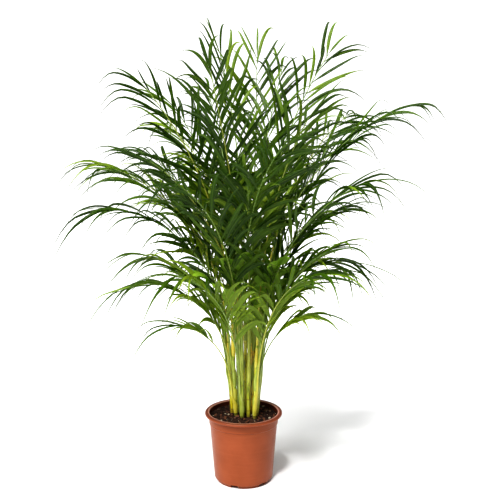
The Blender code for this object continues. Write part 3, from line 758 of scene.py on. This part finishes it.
def read_cane(node):
    """Foot, top and radii of a packed cane, which is a plain tapered rod."""
    places = [vert.co.copy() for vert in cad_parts[node].data.vertices]
    middle = sum(place.z for place in places) / len(places)
    low = [place for place in places if place.z < middle]
    high = [place for place in places if place.z >= middle]
    ends = []
    for group in (low, high):
        apart = {tuple(round(c, 5) for c in place): place for place in group}
        ring = list(apart.values())
        centre = sum(ring, Vector()) / len(ring)
        ends += [centre, max((place - centre).length for place in ring)]
    foot, foot_radius, top, top_radius = ends
    return {
        "node": node, "foot": foot, "top": top, "radii": (foot_radius, top_radius),
        "along": (top - foot).normalized(), "length": (top - foot).length,
    }


def cane_radius(cane, share):
    """Radius of a packed cane at a share of its length."""
    return between(*cane["radii"], share)


def scar_heights(length, draw):
    """Where a cane's ring scars are, closer together towards its top."""
    heights, height = [], FIRST_SCAR + 0.02 * draw.random()
    while height < length - BARE_TOP:
        heights.append(height)
        height += draw.uniform(*SCAR_PITCH) * between(1.0, SCAR_CROWDING, height / length)
    return heights


def cane_stations(length, scars):
    """Where a cane gets a ring of vertices: all along it, and more of them at each scar."""
    stations = {0.0, length}
    stations |= {RING_PITCH * k for k in range(1, int(length / RING_PITCH))}
    stations |= {scar + step for scar in scars for step in SCAR_EDGES}
    kept = []
    for station in sorted(stations):
        if not kept or station - kept[-1] >= LEAST_PITCH or station == length:
            kept.append(station)
    return kept


def make_cane(number, cane, tone_value, material):
    """A slightly wavy cane with the ring scars of its shed leaves."""
    bm = bmesh.new()
    layers = mark_layers(bm, "tone", "scar")
    draw = random.Random(100 + number)
    scars = scar_heights(cane["length"], draw)
    up = cane["along"].orthogonal().normalized()
    side = cane["along"].cross(up)
    phase = draw.random() * math.tau
    rings = []
    for distance in cane_stations(cane["length"], scars):
        share = distance / cane["length"]
        near = min((abs(distance - scar) for scar in scars), default=1.0)
        swell = SCAR_SWELL * math.exp(-(near / 0.0035) ** 2)
        swell -= SCAR_GROOVE * math.exp(-(near / 0.0007) ** 2)
        radius = cane_radius(cane, share) * CANE_SLIM - CANE_TRIM + swell
        sway = CANE_SWAY * math.sin(phase + share * 7.0) * ease(share * 4.0) * ease((1.0 - share) * 4.0)
        centre = cane["foot"] + cane["along"] * distance + up * sway + side * (sway * 0.6)
        scar = math.exp(-(near / 0.0015) ** 2)
        tone = tone_value + 0.10 * math.sin(phase + share * 5.0)
        rings.append((centre, cane["along"], up, radius, radius, (tone, scar)))
    grow_tube(bm, rings, CANE_SIDES, layers)
    new_piece(f"ringed_cane_{number:02d}", bm, [material], cane["node"])


# Fronds


def middle_of(verts):
    """The middle of some vertices."""
    return sum((vert.co for vert in verts), Vector()) / len(verts)


def trace_stalk(ring, beside, blades):
    """A stalk's rings from its foot to its tip, each with its corners in the same order."""
    rings, seen = [ring], set(ring)
    while True:
        following = {other for vert in ring for other in beside[vert]} - blades - seen
        if len(following) != 3:
            return rings
        seen |= following
        offsets = [vert.co - middle_of(ring) for vert in ring]
        centre = middle_of(following)
        ring = list(max(
            itertools.permutations(following),
            key=lambda order: sum(o.dot(v.co - centre) for o, v in zip(offsets, order)),
        ))
        rings.append(ring)


def read_leaflet(tip, beside, ring_of, centres, ups):
    """Where a leaflet leaves its stalk, on which side, and how it reaches, faces and widens."""
    middle = beside[tip]
    roots = sorted({ring_of[other] for vert in middle for other in beside[vert] if other in ring_of})
    first, last = roots[0], roots[-1]
    here, there = centres[max(first - 1, 0)], centres[min(last + 1, len(centres) - 1)]
    course = (there - here).normalized()
    reach = middle_of(middle) - centres[first]
    pairs = itertools.combinations(middle, 2)
    front, back = max(pairs, key=lambda pair: (pair[0].co - pair[1].co).length)
    top = next(vert for vert in middle if vert not in (front, back))
    low = (front.co + back.co) / 2.0
    return {
        "ring": (first + last) / 2.0,
        "side": 1 if reach.dot(course.cross(ups[first])) > 0.0 else -1,
        "level": 1.0 - abs(course.z),
        "course": course,
        "base": (centres[first] + centres[last]) / 2.0,
        "middle": (top.co + low) / 2.0,
        "tip": tip.co.copy(),
        "across": (front.co - back.co).normalized(),
        "up": (top.co - low).normalized(),
        "width": (front.co - back.co).length,
    }


def read_frond(node):
    """The stalk's rings and the leaflets of a packed frond.

    A frond's stalk is a chain of three-sided rings. Each leaflet leaves it between two rings,
    widens to a ring of three and ends in a point.
    """
    bm = bmesh.new()
    bm.from_mesh(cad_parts[node].data)
    bmesh.ops.remove_doubles(bm, verts=bm.verts[:], dist=MERGE)
    beside = {vert: [edge.other_vert(vert) for edge in vert.link_edges] for vert in bm.verts}
    tips = [
        vert for vert, near in beside.items()
        if len(near) == 3 and min((other.co - vert.co).length for other in near) > TIP_LENGTH
    ]
    blades = set(tips) | {vert for tip in tips for vert in beside[tip]}
    caps = [
        face for face in bm.faces
        if not blades & set(face.verts) and max(edge.calc_length() for edge in face.edges) < FOOT_SIDE
    ]
    foot = list(max(caps, key=lambda face: face.calc_area()).verts)
    rings = trace_stalk(foot, beside, blades)
    centres = [middle_of(ring) for ring in rings]
    spread = [
        sum((ring[chain].co - centre).length for ring, centre in zip(rings, centres))
        for chain in range(3)
    ]
    ridge = spread.index(min(spread))
    offsets = [ring[ridge].co - centre for ring, centre in zip(rings, centres)]
    ups = [offset.normalized() for offset in offsets]
    ring_of = {vert: n for n, ring in enumerate(rings) for vert in ring}
    leaflets = [read_leaflet(tip, beside, ring_of, centres, ups) for tip in tips]
    leaflets.sort(key=lambda leaflet: (leaflet["ring"], tuple(leaflet["tip"])))
    radii = [offset.length for offset in offsets]
    bm.free()
    return {"node": node, "centres": centres, "ups": ups, "radii": radii, "leaflets": leaflets}


def blade_pattern():
    """One leaflet lying flat: x across it, y along it and z through it, each up to 1."""
    bm = bmesh.new()
    uv = bm.loops.layers.uv.new("Blade")
    mark_layers(bm, "tone", "along")
    ring = bmesh.ops.create_circle(bm, cap_ends=True, segments=4, radius=1.0)["verts"]
    face = ring[0].link_faces[0]
    corners = ((1.0, 0.0), (0.0, 1.0), (-1.0, 0.0), (0.0, -1.0))
    first = list(face.verts)
    for n in range(BLADE_STATIONS):
        if n:
            face = bmesh.ops.extrude_discrete_faces(bm, faces=[face])["faces"][0]
        for vert, (across, through) in zip(face.verts, corners):
            vert.co = (across, n / (BLADE_STATIONS - 1.0), through)
    rim = [edge for edge in {e for v in first for e in v.link_edges} if edge.is_boundary]
    bmesh.ops.holes_fill(bm, edges=rim, sides=4)
    bmesh.ops.recalc_face_normals(bm, faces=bm.faces[:])
    for face in bm.faces:
        face.smooth = True
        face.material_index = 1
        below = any(vert.co.z < -0.5 for vert in face.verts)
        for loop in face.loops:
            u = (loop.vert.co.x + 1.0) / 2.0
            loop[uv].uv = (2.0 - u if below else u, loop.vert.co.y)
    for edge in bm.edges:
        start, end = edge.verts
        edge.smooth = abs(start.co.y - end.co.y) < 0.001 or start.co.z > 0.5
    pattern = bpy.data.meshes.new("blade_pattern")
    bm.to_mesh(pattern)
    bm.free()
    return pattern


def blade_width(share):
    """Half-width of a leaflet along it: pinched at its foot, drawn out to a thread at its tip."""
    foot = between(0.16, 1.0, ease(share / 0.22))
    point = between(1.0, 0.17, ease((share - 0.42) / 0.50)) * (1.0 - ease((share - 0.84) / 0.16) * 0.6)
    return foot * point


def fill_in(leaflets, draw):
    """A leaflet between some pairs of neighbours on one side of a stalk, most near the canes."""
    added = []
    for side in (1, -1):
        row = [leaflet for leaflet in leaflets if leaflet["side"] == side]
        for first, second in zip(row, row[1:]):
            place = first["middle"]
            share = 0.85 * within(place.xy.length, *FILLED_RADIUS) * within(place.z, *FILLED_HEIGHT)
            if second["ring"] - first["ring"] > 2.6 or draw.random() > share:
                continue
            new = {key: (first[key] + second[key]) / 2.0 for key in first if key != "side"}
            new["side"] = side
            new["across"].normalize()
            new["up"].normalize()
            new["course"].normalize()
            added.append(new)
    return leaflets + added


def lean(reach, leaflet):
    """Turn a leaflet's reach towards its stalk's tip."""
    turned = reach + leaflet["course"] * (reach.length * between(*LEAN, leaflet["level"]))
    return turned.normalized() * reach.length


def lengthen(leaflet, draw, broad):
    """The leaflet's middle and tip once it has its full length and its weight."""
    base, middle, tip = leaflet["base"], leaflet["middle"], leaflet["tip"]
    longer = draw.uniform(*LONGER)
    longer *= LONGER_BROAD if broad else between(1.0, LONGER_LEVEL, leaflet["level"])
    drop = (tip - base).length * between(*DROOP, leaflet["level"]) * draw.uniform(0.4, 1.7)
    if broad:
        drop = (tip - base).length * draw.uniform(*DROOP_BROAD)
    middle = base + lean(middle - base, leaflet) * longer - UP * (drop * 0.22)
    tip = base + lean(tip - base, leaflet) * longer - UP * drop
    limits = zip(tip, *cad_box)
    return middle, Vector([min(high + SPARE, max(low - SPARE, c)) for c, low, high in limits])


def lay_blade(bm, pattern, leaflet, draw, tone_value, broad):
    """Add a copy of the pattern, bent along the leaflet's own curve and folded down its rib."""
    base = leaflet["base"]
    middle, tip = lengthen(leaflet, draw, broad)
    if base.z < LOW_BASE or (tip.z < LOW_CANE[0] and tip.xy.length < LOW_CANE[1]):
        return
    start = len(bm.verts)
    bm.from_mesh(pattern)
    bm.verts.ensure_lookup_table()
    tone = bm.verts.layers.float["tone"]
    length = (tip - base).length
    rise = 4.0 * middle - 3.0 * base - tip
    bend = 2.0 * tip + 2.0 * base - 4.0 * middle
    sway = leaflet["across"] * (draw.uniform(-SWAY, SWAY) * length)
    twist = draw.uniform(-TWIST, TWIST) * (0.5 if broad else 1.0)
    fold = draw.uniform(*FOLD) * (0.6 if broad else 1.0)
    hang = 0.0 if broad else length * draw.uniform(*HANG)
    half = leaflet["width"] * (HALF_WIDTH_BROAD if broad else draw.uniform(*HALF_WIDTH))
    place = leaflet["middle"]
    core = within(place.xy.length, *CORE_RADIUS) * within(place.z, *CORE_HEIGHT)
    half *= 1.0 + CORE_WIDENING * core
    for vert in bm.verts[start:]:
        across, share, through = vert.co
        spot = base + rise * share + bend * (share * share) + sway * math.sin(math.pi * share)
        spot -= UP * (hang * max(0.0, (share - HANG_FROM) / (1.0 - HANG_FROM)) ** 2)
        course = rise + bend * (2.0 * share) + sway * (math.pi * math.cos(math.pi * share))
        course.normalize()
        side = (leaflet["across"] - course * leaflet["across"].dot(course)).normalized()
        normal = course.cross(side)
        if normal.dot(leaflet["up"]) < 0.0:
            normal = -normal
        turn = twist * share
        side, normal = (
            side * math.cos(turn) + normal * math.sin(turn),
            normal * math.cos(turn) - side * math.sin(turn),
        )
        wide = half * blade_width(share)
        slope = fold * between(1.0, 0.45, share)
        thick = BLADE_THICKNESS * between(1.0, 0.35, share)
        vert.co = spot + side * (across * wide * math.cos(slope))
        vert.co += normal * (through * thick / 2.0 - abs(across) * wide * math.sin(slope))
        vert[tone] = tone_value


def nearest_cane(place, canes):
    """The cane whose side or end a stalk leaves, and how far up it that is."""
    best = None
    for cane in canes:
        distance = min(cane["length"], max(0.0, (place - cane["foot"]).dot(cane["along"])))
        apart = (place - cane["foot"] - cane["along"] * distance).length
        apart -= cane_radius(cane, distance / cane["length"])
        if best is None or apart < best[0]:
            best = (apart, cane, distance)
    return best[1], best[2]


def sheath_rings(frond, canes, tone, draw):
    """Rings of the sheath that clasps the cane below a stalk, up to the stalk's own foot."""
    base = frond["centres"][0]
    cane, distance = nearest_cane(base, canes)
    reach = min(draw.uniform(*SHEATH_LENGTH), distance - SHEATH_LOWEST)
    rings = []
    if reach <= SHEATH_LEAST:
        return rings
    for n in range(SHEATH_RINGS):
        share = n / SHEATH_RINGS
        at = distance - reach * (1.0 - share)
        axis = cane["foot"] + cane["along"] * at
        blend = ease((share - 0.35) / 0.65)
        over = base - cane["along"] * (distance - at)
        centre = axis.lerp(over, blend * 0.85)
        around = cane_radius(cane, at / cane["length"]) + SHEATH_WALL * ease(share / 0.25) * 1.2
        radius = between(around, frond["radii"][0] * 1.25, blend)
        rings.append((centre, cane["along"], frond["ups"][0], radius, radius, (tone, 0.0)))
    return rings


def stalk_rings(frond, tone):
    """Rings of the rounded stalk along its whole length."""
    centres = smooth_path(frond["centres"], STALK_PIECES)
    ups = smooth_path(frond["ups"], STALK_PIECES)
    last = len(centres) - 1
    rings = []
    for n, (centre, up) in enumerate(zip(centres, ups)):
        low = min(n // STALK_PIECES, len(frond["radii"]) - 2)
        rest = n / STALK_PIECES - low
        radius = max(STALK_RADIUS, between(frond["radii"][low], frond["radii"][low + 1], rest))
        direction = (centres[min(n + 1, last)] - centres[max(n - 1, 0)]).normalized()
        foot = 1.0 + 0.22 * (1.0 - ease(n / 5.0))
        size = radius * (0.86 if n < last else 0.5)
        share = 0.05 + 0.95 * n / last
        rings.append((centre, direction, up, size * 0.88 * foot, size * foot, (tone, share)))
    return rings


def make_frond(name, frond, number, canes, pattern, materials, slot, tones):
    """A frond: its sheath and stalk in one skin, and its leaflets."""
    broad = slot == "young_leaf"
    bm = bmesh.new()
    bm.loops.layers.uv.new("Blade")
    layers = mark_layers(bm, "tone", "along")
    draw = random.Random(1000 + number)
    frond_tone = draw.uniform(*tones)
    gold = draw.random()
    rings = sheath_rings(frond, canes, gold, draw) + stalk_rings(frond, gold)
    grow_tube(bm, rings, STALK_SIDES, layers)
    leaflets = frond["leaflets"] if broad else fill_in(frond["leaflets"], draw)
    for leaflet in leaflets:
        place = leaflet["middle"]
        core = within(place.xy.length, *CORE_RADIUS)
        painted_light_low_share = within(place.z, *PAINTED_LIGHT_LOW_ZONE)
        painted_light_half_share = within(place.z, *PAINTED_LIGHT_HALF_ZONE)
        tone = frond_tone + draw.uniform(-TONE_SPREAD, TONE_SPREAD)
        # Painted light: leaflets in the heart of the crown, where shade falls, get a lighter tone.
        if not broad:
            tone += core * (PAINTED_LIGHT_LOW_AMOUNT * painted_light_low_share + draw.choice(PAINTED_LIGHT_HALF_AMOUNTS) * painted_light_half_share)
        lay_blade(bm, pattern, leaflet, draw, tone, broad)
    new_piece(name, bm, materials, frond["node"])


# Light and camera


def make_floor():
    """A wide round floor at the height that the pot stands at."""
    bm = bmesh.new()
    bmesh.ops.create_circle(bm, cap_ends=True, segments=96, radius=FLOOR_REACH)
    mesh = bpy.data.meshes.new("studio_floor")
    bm.to_mesh(mesh)
    bm.free()
    mesh.materials.append(floor_finish())
    floor = bpy.data.objects.new("studio_floor", mesh)
    bpy.context.scene.collection.objects.link(floor)


def make_sky():
    """A white surround that gives the plant only a little of its light."""
    world = bpy.data.worlds.new("White studio")
    world.use_nodes = True
    world.node_tree.nodes.clear()
    start = Socket(world.node_tree)
    seen = start.node("LightPath", output="Is Camera Ray")
    soft = start.node("Background", {}, {"Color": (1.0, 1.0, 1.0, 1.0), "Strength": SOFT_LIGHT})
    white = start.node("Background", {}, {"Color": (1.0, 1.0, 1.0, 1.0), "Strength": 1.0})
    sky = start.node("MixShader", {}, {0: seen, 1: soft, 2: white})
    end = world.node_tree.nodes.new("ShaderNodeOutputWorld")
    world.node_tree.links.new(sky.output, end.inputs["Surface"])
    bpy.context.scene.world = world


def add_sun(name, energy, rotation, width):
    """A sun lamp; its rotation and its width, which softens its shadows, are in degrees."""
    data = bpy.data.lights.new(name, "SUN")
    data.energy = energy
    data.angle = math.radians(width)
    light = bpy.data.objects.new(name, data)
    light.rotation_euler = [math.radians(angle) for angle in rotation]
    bpy.context.scene.collection.objects.link(light)


def make_camera():
    """A camera in front of the plant, a little above its middle and looking slightly down."""
    camera = bpy.data.cameras.new("camera")
    camera.sensor_width = CAMERA_SENSOR
    camera.lens = CAMERA_LENS
    camera.clip_end = 60.0
    holder = bpy.data.objects.new("camera", camera)
    holder.location = CAMERA_PLACE
    holder.rotation_euler = (math.radians(90.0 - CAMERA_TILT), 0.0, 0.0)
    bpy.context.scene.collection.objects.link(holder)
    bpy.context.scene.camera = holder


def make_studio():
    """The floor, the white surround, three soft suns and the camera."""
    view = bpy.context.scene.view_settings
    view.view_transform = "Standard"
    view.look = "High Contrast"
    make_floor()
    make_sky()
    add_sun("key", 2.4, (45.0, 0.0, -44.0), 34.0)
    add_sun("glint", 1.5, (30.0, 0.0, -14.0), 6.0)
    add_sun("top", 1.1, (10.0, 0.0, 60.0), 60.0)
    make_camera()


def leaflet_finishes():
    """The finish of the grown leaflets and that of the young ones."""
    grown = blade_finish(
        "Glossy leaflet",
        greens=(
            (0.00, (0.004, 0.017, 0.001)), (0.35, (0.034, 0.086, 0.003)),
            (0.65, (0.150, 0.255, 0.012)), (1.00, (0.420, 0.560, 0.050)),
        ),
        rib_and_highlight_colour=(0.230, 0.350, 0.055), under_colour=(0.070, 0.130, 0.030),
        glow=(0.28, 0.46, 0.01), share=0.36, ribs=6.0,
    )
    young = blade_finish(
        "Young leaflet",
        greens=(
            (0.00, (0.200, 0.380, 0.020)), (0.50, (0.300, 0.520, 0.035)),
            (1.00, (0.420, 0.620, 0.060)),
        ),
        rib_and_highlight_colour=(0.520, 0.680, 0.130), under_colour=(0.400, 0.560, 0.120),
        glow=(0.45, 0.70, 0.05), share=0.40, ribs=9.0,
    )
    return grown, young


def main():
    make_studio()
    make_pot(plastic_finish())
    make_soil(soil_finish())
    nodes = sorted(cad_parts)
    canes = [read_cane(node) for node in nodes if node.startswith("cane_")]
    bark = cane_finish()
    for number, (cane, tone) in enumerate(zip(canes, CANE_TONES), 1):
        make_cane(number, cane, tone, bark)
    pattern = blade_pattern()
    stalk = stalk_finish()
    grown, young = leaflet_finishes()
    kinds = (
        ("frond", "feather_frond", grown, FROND_TONES),
        ("young_leaf", "broad_young_leaf", young, YOUNG_TONES),
    )
    number = 0
    for slot, name, blade, tones in kinds:
        for node in nodes:
            if not node.startswith(slot):
                continue
            number += 1
            make_frond(
                f"{name}_{number:02d}", read_frond(node), number, canes, pattern,
                [stalk, blade], slot, tones,
            )
    bpy.data.meshes.remove(pattern)


main()
